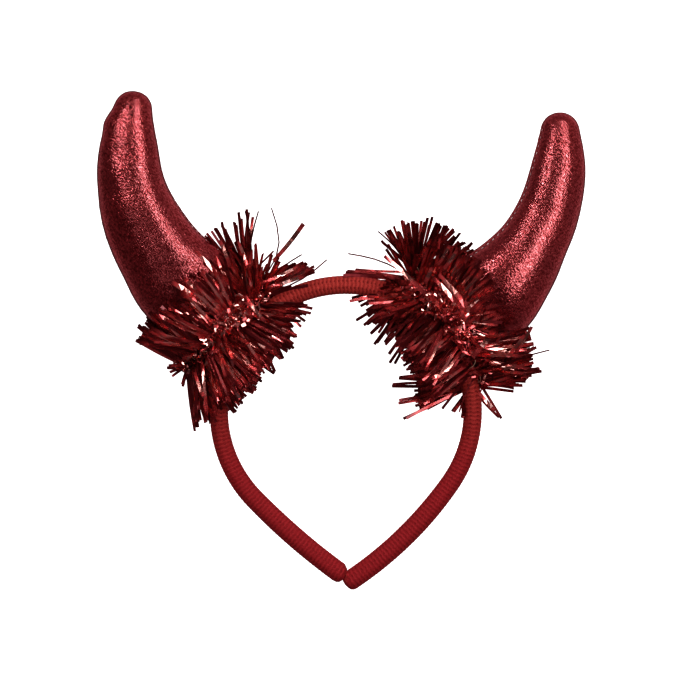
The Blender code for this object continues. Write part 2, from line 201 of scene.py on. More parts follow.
# %% A tree that grows a node at a time
class Tree:
    """The nodes of a material or a world that lead into its one shader."""

    def __init__(self, owner, shader):
        owner.use_nodes = True
        self.owner = owner
        self.shader = owner.node_tree.nodes[shader]

    def node(self, kind, settings=None, sockets=None, output=0):
        made = self.owner.node_tree.nodes.new(kind)
        for setting, value in (settings or {}).items():
            setattr(made, setting, value)
        for socket, value in (sockets or {}).items():
            self.feed(made.inputs[socket], value)
        return Wire(self, made.outputs[output])

    def feed(self, socket, value):
        if isinstance(value, Wire):
            self.owner.node_tree.links.new(value.socket, socket)
        else:
            socket.default_value = value

    def set(self, **values):
        for socket, value in values.items():
            self.feed(self.shader.inputs[socket.replace("_", " ")], value)

    def mix(self, share, first, second):
        """A colour between two colours."""
        return self.node("ShaderNodeMix", {"data_type": "RGBA"},
                         {0: share, 6: first, 7: second}, output=2)

    def split(self, vector):
        """Wires of the three parts of a vector."""
        parts = self.node("ShaderNodeSeparateXYZ", sockets={0: vector}).socket.node.outputs
        return [Wire(self, part) for part in parts]

    def place(self):
        """Coordinates in the piece's own space, in metres."""
        return self.node("ShaderNodeTexCoord", output="Object")

    def cloth_place(self):
        """Two wires: metres along the piece and metres round it, from its own map."""
        return self.split(self.node("ShaderNodeUVMap", {"uv_map": "cloth"}))[:2]

    def noise(self, size, detail=2.0, vector=None):
        """Soft noise from 0 to 1 whose blots are about a size in metres."""
        return self.node("ShaderNodeTexNoise", {}, {
            "Vector": vector or self.place(), "Scale": 1.0 / size, "Detail": detail})

    def dashes(self, turn, length, width):
        """Noise drawn out into dashes that all lie at a turn, in degrees, from the X axis."""
        x, y, z = self.split(self.place())
        cos, sin = math.cos(math.radians(turn)), math.sin(math.radians(turn))
        drawn_out = self.node("ShaderNodeCombineXYZ", sockets={
            0: (x * cos + y * sin) / length, 1: (y * cos - x * sin) / width, 2: z / length})
        return self.noise(1.0, detail=1.0, vector=drawn_out)

    def bump(self, height, depth, strength=1.0):
        """Normal of a relief: height from 0 to 1, depth in metres."""
        return self.node("ShaderNodeBump", sockets={
            "Strength": strength, "Distance": depth, "Height": height})


class Finish(Tree):
    """A material with one Principled shader."""

    def __init__(self, name, **values):
        super().__init__(bpy.data.materials.new(name), "Principled BSDF")
        self.set(**values)


def rgb(red, green, blue):
    return (red, green, blue, 1.0)


# %% [markdown]
# ## Room
#
# The room behind the lamps is dim: darkest overhead and behind the arms, a little lighter all
# round the horizon, and lighter to the right and past the tips. The light that comes up from
# the white table is what gives the far sides of the horns their thin rim, and the dark straight
# below draws the line round their edges. All of it is a dusky rose, because most of what
# surrounds red cloth and foil is more of the same.

# %% Dim the room
Glow = namedtuple("Glow", "side strength start")
HORIZON = 0.09
RIGHT = Glow((1, 0, 0), 0.09, 0.0)
PAST_TIPS = Glow((0, 1, 0), 0.08, 0.0)
OVERHEAD = Glow((0, 0, 1), -0.04, 0.0)
BELOW = Glow((0, 0, -1), 0.34, 0.0)
STRAIGHT_BELOW = Glow((0, 0, -1), -0.42, 0.6)
room = Tree(bpy.data.worlds.new("room"), "Background")
direction = room.node("ShaderNodeTexCoord", output="Generated")
strength = HORIZON
for glow in (RIGHT, PAST_TIPS, OVERHEAD, BELOW, STRAIGHT_BELOW):
    towards = room.node("ShaderNodeVectorMath", {"operation": "DOT_PRODUCT"},
                        {0: direction, 1: glow.side}, output="Value")
    strength = towards.ramp(glow.start, 1.0) * glow.strength + strength
room.set(Strength=strength, Color=rgb(1.0, 0.66, 0.70))
bpy.context.scene.world = room.owner
bpy.context.scene.view_settings.view_transform = "Standard"
bpy.context.scene.view_settings.look = "High Contrast"

# %% [markdown]
# ## Table
#
# The photo's ground is pure white, shows no shadow and casts no light on the horns, whose edges
# are dark. So the table is a large plane that glows, and only the camera sees it.

# %% Lay the white sheet
TABLE_SIZE = 6.0
TABLE_DROP = 0.2 * MM
bpy.ops.object.select_all(action="DESELECT")
bpy.ops.mesh.primitive_plane_add(size=TABLE_SIZE, location=(0, 0, -TABLE_DROP))
table = bpy.context.object
table.name = "table"
table.visible_diffuse = False
table.visible_glossy = False
sheet = Finish("white_sheet", Base_Color=rgb(0.9, 0.9, 0.9), Roughness=0.9,
               Emission_Color=rgb(1.0, 1.0, 1.0), Emission_Strength=0.85)
table.data.materials.append(sheet.owner)

# %% [markdown]
# ## Modelling helpers
#
# A modelling operator acts on what is selected. So each step deselects everything, selects
# corners by their place, and then runs the operator in edit mode.


# %% Selection and modifiers
def only(piece):
    """Make a piece the one selected and active object."""
    bpy.ops.object.select_all(action="DESELECT")
    piece.select_set(True)
    bpy.context.view_layer.objects.active = piece


def corners_of(piece):
    """Corners of a mesh as rows of x, y and z."""
    places = np.empty(len(piece.data.vertices) * 3, np.float32)
    piece.data.vertices.foreach_get("co", places)
    return places.reshape(-1, 3).astype(float)


def move_corners(piece, places):
    piece.data.vertices.foreach_set("co", np.asarray(places, np.float32).ravel())
    piece.data.update()


def edit(piece, chosen, operator, **settings):
    """Run an operator in edit mode on the corners that an array of true and false names."""
    mesh = piece.data
    only(piece)
    bpy.context.tool_settings.mesh_select_mode = (True, False, False)
    for part in (mesh.polygons, mesh.edges):
        part.foreach_set("select", np.zeros(len(part), bool))
    mesh.vertices.foreach_set("select", np.full(len(mesh.vertices), chosen))
    bpy.ops.object.mode_set(mode="EDIT")
    operator(**settings)
    bpy.ops.object.mode_set(mode="OBJECT")


def apply_modifier(piece, kind, **settings):
    only(piece)
    modifier = piece.modifiers.new(kind.lower(), kind)
    for setting, value in settings.items():
        setattr(modifier, setting, value)
    bpy.ops.object.modifier_apply(modifier=modifier.name)


def add_piece(corners, faces):
    mesh = bpy.data.meshes.new("piece")
    mesh.from_pydata(corners, [], faces)
    piece = bpy.data.objects.new("piece", mesh)
    bpy.context.collection.objects.link(piece)
    return piece


# %% Surface, finish and map of a piece
def surface_of(piece):
    """A search tree over a finished piece. A spin leaves its faces in any order, so they are sorted."""
    faces = []
    for face in piece.data.polygons:
        ring = list(face.vertices)
        first = ring.index(min(ring))
        faces.append(ring[first:] + ring[:first])
    return BVHTree.FromPolygons([Vector(corner) for corner in corners_of(piece)], sorted(faces))


def dress(piece, name, slot, finish, *replaced):
    """Name a finished piece, give it its finish and let it ride on the frame."""
    piece.name = name
    piece.data.name = name
    piece.data.materials.clear()
    piece.data.materials.append(finish.owner)
    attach(piece, "root")
    if replaced:
        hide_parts(*replaced)
    print(name, len(piece.data.polygons), "faces")


def write_cloth_map(piece, along, round_share, girth):
    """Write metres along and round a piece into its own map. No face spans the seam."""
    mesh = piece.data
    corner = np.empty(len(mesh.loops), int)
    mesh.loops.foreach_get("vertex_index", corner)
    start = np.array([face.loop_start for face in mesh.polygons])
    owner = np.repeat(np.arange(len(start)), np.diff(np.append(start, len(mesh.loops))))
    share = round_share[corner]
    share += np.maximum.reduceat(share, start)[owner] - share > 0.5
    layer = mesh.uv_layers.new(name="cloth")
    layer.data.foreach_set("uv", np.column_stack(
        (along[corner], share * girth)).astype(np.float32).ravel())


# %% [markdown]
# ## Band
#
# The band is a springy strip inside a tube of ribbed cloth. Seen from above it is a circle over
# the head, which goes over into two arms that are nearly straight. That could be a curve with a
# bevel, but a cross-section that is spun keeps its shape exact on each stretch: once round the
# middle of the head, and then round a far centre for each arm. Each arm is stretched a little, so
# that the two ends touch, and rounded off with three smaller rings. The band is drawn flat and
# then laid down with its crown a little raised, as its solid is.

# %% Sizes of the band
HEAD_RADIUS = 61 * MM
BAND_THICKNESS = 8.8 * MM
BAND_WIDTH = 10.0 * MM
ARM_SWELL = 1.1 * MM
TIP_ROUNDING = 3.4 * MM
ROUNDED_RINGS = ((0.45, 0.94), (0.80, 0.78), (1.0, 0.50))
RIB_PITCH = 1.9 * MM
RIB_HEIGHT = 0.12 * MM
STEPS_PER_RIB = 4
BAND_SIDES = 28

Arm = namedtuple("Arm", "side round_turn gentle_turn length stretch")
LEFT_ARM = Arm(-1, math.radians(44.0), math.radians(10.0), 55.53 * MM, 1.9 * MM)
RIGHT_ARM = Arm(+1, math.radians(35.0), math.radians(22.0), 69.89 * MM, 0.2 * MM)


# %% Find the plane of the band
def plane_of(places):
    """Middle of some points, and the direction square to the plane that fits them best."""
    centre = places.mean(axis=0)
    normal = np.linalg.svd(places - centre, full_matrices=False)[2][2]
    return Vector(centre), Vector(normal * np.sign(normal[2])).normalized()


band_centre, band_up = plane_of(corners_of(nodes["headband"]))
band_low, band_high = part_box("headband")
band_forward = Vector((0.0, band_up.z, -band_up.y)).normalized()


def arm_place(arm, distance):
    """Place on an arm's middle line in the band's own plane, a distance after its start."""
    start, radius = arm.round_turn, arm.length / arm.gentle_turn
    bend = distance / radius
    x = HEAD_RADIUS * math.cos(start) - radius * (math.cos(start) - math.cos(start + bend))
    y = -HEAD_RADIUS * math.sin(start) - radius * (math.sin(start + bend) - math.sin(start))
    return Vector((arm.side * x, y, 0.0))


# The crown's outer face is the band's farthest place towards +Y, and its sides are as far out
# on the left as on the right, so the middle of the head follows from the box of the solid.
head_centre = Vector(((band_low.x + band_high.x) / 2, 0.0, 0.0))
head_centre.y = band_high.y - (HEAD_RADIUS + BAND_THICKNESS / 2) * band_forward.y
head_centre.z = band_centre.z + (head_centre.y - band_centre.y) * band_forward.z / band_forward.y
lay_down = Matrix.Translation(head_centre) @ Matrix(
    (Vector((1, 0, 0)), band_forward, band_up)).transposed().to_4x4()
print("crown raised by", round(math.degrees(math.asin(band_forward.z)), 2), "degrees")


# %% Spin the band
def newest_ring(band):
    """The operators below add their corners at the end of the mesh."""
    count = len(band.data.vertices)
    return np.arange(count) >= count - BAND_SIDES


def sweep(band, ring, centre, turn, radius):
    """Spin a ring about a centre, clockwise as seen from above, with a few steps for each rib."""
    steps = round(abs(turn) * radius / RIB_PITCH * STEPS_PER_RIB)
    edit(band, ring, bpy.ops.mesh.spin, steps=steps, angle=turn, center=centre, axis=(0, 0, 1))


def far_centre(arm):
    """The centre about which an arm bends gently."""
    far = arm.length / arm.gentle_turn - HEAD_RADIUS
    return Vector((-arm.side * far * math.cos(arm.round_turn), far * math.sin(arm.round_turn), 0.0))


def add_arm(band, ring, arm):
    """Sweep an arm and round its end off with a few smaller rings."""
    radius, whole = arm.length / arm.gentle_turn, arm.length + arm.stretch
    sweep(band, ring, far_centre(arm), arm.side * (whole - TIP_ROUNDING) / radius, radius)
    section = corners_of(band)[newest_ring(band)]
    section -= section.mean(axis=0)
    for reach, size in ROUNDED_RINGS:
        edit(band, newest_ring(band), bpy.ops.mesh.extrude_region_move)
        places = corners_of(band)
        centre = arm_place(arm, whole - TIP_ROUNDING * (1 - reach))
        places[newest_ring(band)] = section * size + np.array(centre)
        move_corners(band, places)
    edit(band, newest_ring(band), bpy.ops.mesh.edge_face_add)


bpy.ops.object.select_all(action="DESELECT")
bpy.ops.mesh.primitive_circle_add(vertices=BAND_SIDES, radius=0.5)
band = bpy.context.object
left_ear = Vector((-math.cos(LEFT_ARM.round_turn), -math.sin(LEFT_ARM.round_turn), 0.0))
move_corners(band, [left_ear * (HEAD_RADIUS + BAND_THICKNESS * x) + UP * BAND_WIDTH * y
                    for x, y, _ in corners_of(band)])
sweep(band, True, Vector(), math.pi + LEFT_ARM.round_turn + RIGHT_ARM.round_turn, HEAD_RADIUS)
add_arm(band, newest_ring(band), RIGHT_ARM)
add_arm(band, np.arange(len(band.data.vertices)) < BAND_SIDES, LEFT_ARM)
print("band corners:", len(band.data.vertices))

# %% [markdown]
# ## Ribs and the map of the band
#
# The cloth tube is ribbed across the band, about two millimetres from rib to rib. The sweep put
# four rings on each rib, so the ribs can be real relief: each corner moves in or out by a wave
# of its distance along the band. The same distance, and the distance round the band, go into a
# map that the cloth's finish reads.


# %% Measure along and round the band
def along_band(place):
    """Distance along the centre line from the crown, and the nearest place on that line."""
    x, y = place[0], place[1]
    turn = math.atan2(x, y)
    arm = RIGHT_ARM if x > 0 else LEFT_ARM
    if abs(turn) <= math.pi / 2 + arm.round_turn:
        return turn * HEAD_RADIUS, (math.sin(turn) * HEAD_RADIUS, math.cos(turn) * HEAD_RADIUS)
    centre, radius = far_centre(arm), arm.length / arm.gentle_turn
    heading = math.atan2(-(y - centre.y), arm.side * (x - centre.x))
    nearest = (centre.x + arm.side * radius * math.cos(heading),
               centre.y - radius * math.sin(heading))
    round_length = (math.pi / 2 + arm.round_turn) * HEAD_RADIUS
    return arm.side * (round_length + (heading - arm.round_turn) * radius), nearest


def soft_step(share):
    share = np.clip(share, 0.0, 1.0)
    return share * share * (3.0 - 2.0 * share)


# %% Raise the ribs
FLAT_END = 0.45 * BAND_THICKNESS
SHARP_EDGE = math.radians(50)
measured = [along_band(place) for place in corners_of(band)]
along = np.array([distance for distance, _ in measured])
line = np.array([(x, y, 0.0) for _, (x, y) in measured])
out = corners_of(band) - line
reach = np.linalg.norm(out, axis=1)
relief = np.where(reach < FLAT_END, 0.0, np.cos(2 * math.pi * along / RIB_PITCH) * RIB_HEIGHT / 2)
rib = out * (relief / reach)[:, None]
sideways = (out * line).sum(axis=1) / np.linalg.norm(line, axis=1)
round_share = np.arctan2(out[:, 2] / BAND_WIDTH, sideways / BAND_THICKNESS) / (2 * math.pi) % 1.0
swell = 1 + ARM_SWELL / BAND_THICKNESS * soft_step(-line[:, 1] / HEAD_RADIUS)
out[:, :2] *= swell[:, None]
move_corners(band, [lay_down @ Vector(place) for place in line + out + rib])
write_cloth_map(band, along, round_share, math.pi * (BAND_THICKNESS + BAND_WIDTH) / 2)
edit(band, True, bpy.ops.mesh.normals_make_consistent, inside=False)
bpy.ops.object.shade_smooth_by_angle(angle=SHARP_EDGE)
print("band is", round((along.max() - along.min()) / MM), "mm long with",
      round((along.max() - along.min()) / RIB_PITCH), "ribs")

# %% [markdown]
# ## Band cloth
#
# The cloth is matt. Its colour is painted orange-red where it bulges and darker between the ribs,
# painted light and shade over the ribs, and goes over to crimson down the arms. Small pits lie in
# two rows where the weave dips, painted dark as painted shade, and loose slubs run across the ribs
# at a slant. A little sheen makes its edges dusty.

# %% Finish of the band
PIT_PITCH = 3.8 * MM
SLUB_PITCH = 1.1 * MM
CROWN_CLOTH = 75 * MM
ARM_CLOTH = 130 * MM
ribbed = Finish("ribbed_cloth", Roughness=0.82, Sheen_Weight=0.1, Sheen_Roughness=0.5,
                Sheen_Tint=rgb(1.0, 0.35, 0.35))
along_wire, round_wire = ribbed.cloth_place()
blotches = ribbed.noise(6.0 * MM)
grain = ribbed.noise(0.7 * MM, detail=3.0)
rib_turn = along_wire * (2 * math.pi / RIB_PITCH)
pits = rib_turn.wave() * (round_wire * (2 * math.pi / PIT_PITCH)).wave()
slubs = ((along_wire + round_wire) * (2 * math.pi / SLUB_PITCH) + blotches * 9.0).wave()
down_arm = along_wire.maths("ABSOLUTE").ramp(CROWN_CLOTH, ARM_CLOTH)
# The rib wave in lit is painted light on the bulges and painted shade between the ribs; the grain and
# slubs are the cloth's own tone.
lit = rib_turn.maths("COSINE") * 0.14 + 0.5 + (grain - 0.5) * 0.8 + (slubs - 0.5) * 0.15
pit_share = pits.ramp(0.55, 0.95) * (1 - down_arm * 0.5)
bright = lit.ramp(0.1, 0.9)
orange_red = ribbed.mix(bright, rgb(0.33, 0.028, 0.024), rgb(0.72, 0.112, 0.090))
crimson = ribbed.mix(bright, rgb(0.34, 0.018, 0.024), rgb(0.56, 0.048, 0.058))
cloth_colour = ribbed.mix(down_arm, orange_red, crimson)
# The dark colour at the pits is painted shade in the dips.
ribbed.set(Base_Color=ribbed.mix(pit_share * 0.7, cloth_colour, rgb(0.16, 0.006, 0.007)),
           Normal=ribbed.bump(lit - pit_share * 0.8, 0.25 * MM, 0.8))
dress(band, "band", "headband", ribbed, "headband")

# %% [markdown]
# ## Horns
#
# Each horn is a sewn cone of metallic cloth, stuffed until it is tight and laid down from its
# seat astride the band. The solid has the right outline and place but is as smooth as wax. So a
# copy of it is remeshed into small even faces and inflated as cloth with a little pressure. The
# pressure rounds its sides and puckers its hollow edge, as stuffing does. No corner may move
# more than a millimetre and a half, and those near the foot stay where the band needs them.

# %% Centre line of a horn
SEAT_TURN = math.radians(54.0)
Horn = namedtuple("Horn", "name side length foot_turn tip_turn lateness seam_turn")
HORNS = (
    Horn("horn_left", -1, 137.7 * MM, 49.3, -9.7, 1.26, 4.0),
    Horn("horn_right", +1, 125.7 * MM, 47.7, -0.6, 1.24, 15.0),
)
LINE_STEPS = 140


def horn_line(horn):
    """Places along the middle of a horn, seen from above, and the heading at each."""
    start = Vector((horn.side * math.sin(SEAT_TURN), math.cos(SEAT_TURN), 0.0)) * HEAD_RADIUS
    step = horn.length / LINE_STEPS
    places, headings = [np.array((lay_down @ start)[:2])], []
    for i in range(LINE_STEPS + 1):
        share = float(soft_step(((i + 0.5) / LINE_STEPS) ** horn.lateness))
        turn = math.radians(horn.foot_turn + (horn.tip_turn - horn.foot_turn) * share)
        heading = np.array((horn.side * math.sin(turn), math.cos(turn)))
        headings.append(heading)
        places.append(places[-1] + heading * step)
    return np.array(places[:-1]), np.array(headings)


def horn_place(horn, places):
    """Distance from the foot, distance to the +X side of the middle line, for each place."""
    line, headings = horn_line(horn)
    nearest = np.array([((line - place[:2]) ** 2).sum(axis=1).argmin() for place in places])
    offset = places[:, :2] - line[nearest]
    heading = headings[nearest]
    across = np.column_stack((heading[:, 1], -heading[:, 0]))
    forward = (offset * heading).sum(axis=1)
    return nearest * horn.length / LINE_STEPS + forward, (offset * across).sum(axis=1)


# %% Stuff a horn
VOXEL = 1.6 * MM
PRESSURE = 4.0
SIM_FRAMES = 20
MOST_SWELL = 1.5 * MM
PINNED_LENGTH = 14 * MM


def copy_of(node):
    """A merged copy of a solid's mesh, which leaves the solid alone."""
    piece = node.copy()
    piece.data = node.data.copy()
    for key in list(piece.keys()):
        del piece[key]
    piece.parent = None
    bpy.context.collection.objects.link(piece)
    edit(piece, True, bpy.ops.mesh.remove_doubles, threshold=1e-6)
    return piece


def stuff(horn, piece):
    """Inflate a horn a little as cloth, but move no corner farther than the cap."""
    before = corners_of(piece)
    pinned = np.flatnonzero(horn_place(horn, before)[0] < PINNED_LENGTH)
    piece.vertex_groups.new(name="pinned").add([int(i) for i in pinned], 1.0, "REPLACE")
    only(piece)
    cloth = piece.modifiers.new("stuffing", "CLOTH")
    cloth.settings.use_pressure = True
    cloth.settings.uniform_pressure_force = PRESSURE
    cloth.settings.effector_weights.gravity = 0.0
    cloth.settings.vertex_group_mass = "pinned"
    cloth.point_cache.frame_end = SIM_FRAMES
    for number in range(1, SIM_FRAMES + 1):
        bpy.context.scene.frame_set(number)
    bpy.ops.object.modifier_apply(modifier=cloth.name)
    bpy.context.scene.frame_set(1)
    piece.vertex_groups.clear()
    moved = corners_of(piece) - before
    far = np.linalg.norm(moved, axis=1)[:, None]
    print(horn.name, "swells by", round(float(far.max()) / MM, 2), "mm before the cap")
    places = before + moved * np.minimum(1.0, MOST_SWELL / np.maximum(far, 1e-9))
    places[:, 2] = np.maximum(places[:, 2], 0.0)
    move_corners(piece, places)


def add_horn(horn):
    piece = copy_of(nodes[horn.name])
    apply_modifier(piece, "REMESH", mode="VOXEL", voxel_size=VOXEL)
    stuff(horn, piece)
    return piece


horn_pieces = [add_horn(horn) for horn in HORNS]

# %% [markdown]
# ## Seams and dents
#
# The cone is closed by a hand-sewn seam along its hollow edge. On the right horn the seam lies
# just in sight, and on the left one it hides under the edge. A seam pulls the cloth into a
# narrow valley, deepest at each stitch. The stuffing also leaves a few shallow dents, and they
# are what breaks the long highlight into patches. Near its foot the horn is tied and sinks
# towards the table. All are vertex moves on a finer mesh. A dent is a place in the photo with a
# radius and a depth in millimetres, and one with a depth below zero is a bulge.

# %% Measure round a horn
SECTIONS = 40


def round_turn(horn, piece):
    """Distance from the foot, turn round the section, and radius: 0 at the hollow edge, 90 on top."""
    places = corners_of(piece)
    along, across = horn_place(horn, places)
    share = along / horn.length * SECTIONS
    section = np.clip(share.astype(int), 0, SECTIONS)
    half, high, low = (np.array(row) for row in zip(*(
        (max(np.abs(across[section == i]).max(initial=0.0), MM),
         places[section == i, 2].max(initial=MM), places[section == i, 2].min(initial=1.0))
        for i in range(SECTIONS + 1))))
    half_z = np.maximum((high - low) / 2, MM)
    half_at, middle_at, half_z_at = (np.interp(share, np.arange(SECTIONS + 1) + 0.5, row)
                                     for row in (half, (high + low) / 2, half_z))
    turn = np.arctan2((places[:, 2] - middle_at) / half_z_at, -horn.side * across / half_at)
    return along, np.degrees(turn), np.hypot(half, half_z).mean() / math.sqrt(2)


# %% Smooth the horns, press in the seam and dent them
STITCH_PITCH = 3.9 * MM
SEAM_WIDTH = 1.3 * MM
SEAM_DEPTH = 0.8 * MM
SEAM_REACH = 0.96
STITCH_PULL = 0.25
GROWTH = 1.2 * MM
SQUEEZED_LENGTH = 55 * MM
SQUEEZE = 0.20
UNDERSIDE = -0.3
Dent = namedtuple("Dent", "across down radius depth")
DENTS = {
    "horn_left": (
        Dent(122, 152, 9, 0.8), Dent(136, 236, 9, 0.8), Dent(112, 190, 8, 0.4),
        Dent(146, 175, 9, 0.4), Dent(166, 268, 10, 0.5), Dent(105, 121, 5, -1.4),
        Dent(133, 302, 10, -1.2)),
    "horn_right": (
        Dent(552, 165, 7, 0.8), Dent(538, 212, 6, 0.7), Dent(514, 246, 8, 0.9),
        Dent(565, 255, 9, 0.4)),
}


def finish_horn_shape(horn, piece):
    apply_modifier(piece, "SMOOTH", factor=0.5, iterations=4)
    apply_modifier(piece, "SUBSURF", levels=1, render_levels=1)
    places = corners_of(piece)
    normals = np.array([vertex.normal for vertex in piece.data.vertices])
    along, turn, radius = round_turn(horn, piece)
    push = -GROWTH * soft_step(along / PINNED_LENGTH - 0.5)
    arc = np.radians(turn - horn.seam_turn) * radius
    stitch = 1 - STITCH_PULL + STITCH_PULL * np.cos(2 * math.pi * along / STITCH_PITCH)
    seam = (along > PINNED_LENGTH) & (along < horn.length * SEAM_REACH)
    push += np.where(seam, SEAM_DEPTH * stitch * np.exp(-(arc / SEAM_WIDTH) ** 2), 0.0)
    for dent in DENTS[horn.name]:
        centre = np.array(spot(dent.across, dent.down))[:2]
        apart = np.linalg.norm(places[:, :2] - centre, axis=1) / (dent.radius * MM)
        push += np.where(normals[:, 2] > UNDERSIDE, dent.depth * MM * np.exp(-apart ** 2), 0.0)
    places -= normals * push[:, None]
    squeezed = 1 - SQUEEZE * soft_step(1 - along / SQUEEZED_LENGTH)
    places[:, 2] = np.maximum(places[:, 2], 0.0) * squeezed
    move_corners(piece, places)
    write_cloth_map(piece, along, turn / 360 % 1.0, 2 * math.pi * radius)
    only(piece)
    bpy.ops.object.shade_smooth()


for horn, piece in zip(HORNS, horn_pieces):
    finish_horn_shape(horn, piece)

# %% [markdown]
# ## Horn cloth
#
# The cloth is a red metallic film on a fine slanting weave. Its threads are short raised dashes,
# partly metal and partly a glossy clear plastic, which gives the highlights their pink. The gaps
# between them are rougher and more metal, and painted darker: painted shade between the threads.
# A dash is about a pixel of the photo wide, so the ridges of light break up into bright and dark
# specks.

# %% Finish of the horns
DASH_LENGTH = 1.5 * MM
DASH_WIDTH = 0.58 * MM
shiny = Finish("metallic_cloth", IOR=3.0, Specular_IOR_Level=1.0)
mottle = shiny.noise(14 * MM)
weave = (shiny.dashes(-52.0, DASH_LENGTH, DASH_WIDTH) * 0.55
         + shiny.dashes(40.0, DASH_LENGTH * 0.8, DASH_WIDTH) * 0.45).ramp(0.25, 0.75)
film = shiny.mix(mottle.ramp(0.3, 0.7), rgb(0.64, 0.036, 0.050), rgb(0.78, 0.052, 0.066))
# The gaps' dark colour is painted shade between the threads.
shiny.set(Base_Color=shiny.mix(weave, rgb(0.24, 0.006, 0.010), film),
          Metallic=0.95 - weave * 0.40,
          Roughness=mottle * 0.05 + 0.24 - weave * 0.12,
          Normal=shiny.bump(weave, 0.12 * MM))
for horn, piece in zip(HORNS, horn_pieces):
    dress(piece, horn.name + "_cloth", horn.name, shiny, horn.name)

# %% [markdown]
# ## Stitches
#
# The seam is sewn with off-white thread that shows as a row of dots, one to every four
# millimetres. One stitch is modelled, a short rounded roll, and copied along the seam.

# %% Sew the seams
STITCH_LENGTH = 1.5 * MM
STITCH_RADIUS = 0.36 * MM
FIRST_STITCH = PINNED_LENGTH + 10 * MM
SEWN_SHARE = 0.95
SEAM_TURN_REACH = 9.0
DEGREES_PER_MM = 4.0


def seam_places(horn, piece):
    """Places of the stitches: the seam's corner nearest to each step along the horn."""
    places = corners_of(piece)
    along, turn, _ = round_turn(horn, piece)
    off_seam = np.abs(turn - horn.seam_turn)
    found = []
    for step in np.arange(FIRST_STITCH, horn.length * SEWN_SHARE, STITCH_PITCH):
        near = np.flatnonzero((off_seam < SEAM_TURN_REACH) & (np.abs(along - step) < 2 * MM))
        if len(near):
            misfit = off_seam[near] / DEGREES_PER_MM + np.abs(along[near] - step) / MM
            found.append(Vector(places[near[misfit.argmin()]]))
    return found


def sew(stitch, row):
    """One piece with a copy of the stitch at each place of a row, lying along the row."""
    corners, faces, count = [], [], len(stitch.data.vertices)
    for i, place in enumerate(row):
        ahead = (row[min(i + 1, len(row) - 1)] - row[max(i - 1, 0)]).normalized()
        turned = ahead.to_track_quat("Z", "X").to_matrix()
        corners += [place + turned @ corner.co for corner in stitch.data.vertices]
        faces += [[k + i * count for k in face.vertices] for face in stitch.data.polygons]
    return add_piece(corners, faces)


bpy.ops.object.select_all(action="DESELECT")
bpy.ops.mesh.primitive_uv_sphere_add(segments=8, ring_count=6, radius=STITCH_RADIUS)
stitch = bpy.context.object
stitch.data.transform(Matrix.Diagonal((1.0, 1.0, STITCH_LENGTH / 2 / STITCH_RADIUS, 1.0)))
thread = Finish("stitch_thread", Roughness=0.7)
thread.set(Base_Color=thread.mix(thread.noise(0.5 * MM), rgb(0.75, 0.62, 0.62), rgb(1.0, 0.93, 0.92)))
for horn, piece in zip(HORNS, horn_pieces):
    sewn = sew(stitch, seam_places(horn, piece))
    only(sewn)
    bpy.ops.object.shade_smooth()
    dress(sewn, horn.name + "_stitches", horn.name, thread)
bpy.data.objects.remove(stitch)

# %% [markdown]
# ## Tinsel: the core
#
# A garland is two thin wires twisted round a fringe of foil, so that its strips stand out all
# round like the bristles of a bottle brush. Its core crosses over the foot of the horn, comes
# down beside it and goes back under it. The stops of that route are chosen from the photo,
# with the hidden ones under the foot, and one smooth closed curve runs through them. Each
# stop is a pixel with its height above the table in millimetres.

# %% Route of each core
ROUTES = {
    "tinsel_left": (
        (186, 367, 10), (203, 352, 24), (222, 331, 30), (239, 315, 29), (259, 300, 18),
        (255, 285, 10), (241, 281, 5), (228, 310, 2.5), (208, 340, 2.5), (192, 362, 4)),
    "tinsel_right": (
        (471, 386, 10), (470, 358, 25), (458, 331, 30), (441, 311, 28), (422, 296, 18),
        (412, 281, 10), (418, 269, 6), (440, 288, 2.5), (458, 318, 2.5), (470, 355, 2.5),
        (473, 378, 4)),
}
CORE_RADIUS = 1.3 * MM
CORE_POINTS = 240
SMOOTHINGS = 6


def smooth_loop(knots):
    """Points on a closed smooth curve through some stops, as many to each stretch."""
    points = []
    for i in range(CORE_POINTS):
        share = i / CORE_POINTS * len(knots)
        k, t = int(share), share % 1.0
        a, b, c, d = (knots[(k + j) % len(knots)] for j in (-1, 0, 1, 2))
        points.append(b + 0.5 * t * (
            c - a + t * (2 * a - 5 * b + 4 * c - d + t * (3 * (b - c) + d - a))))
    return [Vector(point) for point in points]


body_surfaces = [surface_of(piece) for piece in [band] + horn_pieces]


def settle(place, margin):
    """Move a place out of the horns and the band, and up from the table."""
    for surface in body_surfaces:
        hit, normal, _, distance = surface.find_nearest(place)
        if (place - hit).dot(normal) < 0:
            place = hit + normal * margin
        elif distance < margin:
            place = hit + (place - hit).normalized() * margin
    return Vector((place.x, place.y, max(place.z, margin)))


def core_line(name):
    knots = np.array([spot(across, down, height * MM) for across, down, height in ROUTES[name]])
    line = [settle(place, CORE_RADIUS) for place in smooth_loop(knots)]
    for _ in range(SMOOTHINGS):
        line = [(line[i - 1] + line[i] * 2 + line[(i + 1) % CORE_POINTS]) / 4
                for i in range(CORE_POINTS)]
    return line


# %% [markdown]
# ## Tinsel: the outline
#
# The strips are all about as long, but the tufts are not round: strips that meet the table or
# the horn fold up. The photo's outline of each tuft is a list of pixels, and a strip whose tip
# would fall outside it tries another heading. A second list marks where the band comes out of
# the tuft, with few strips over it.

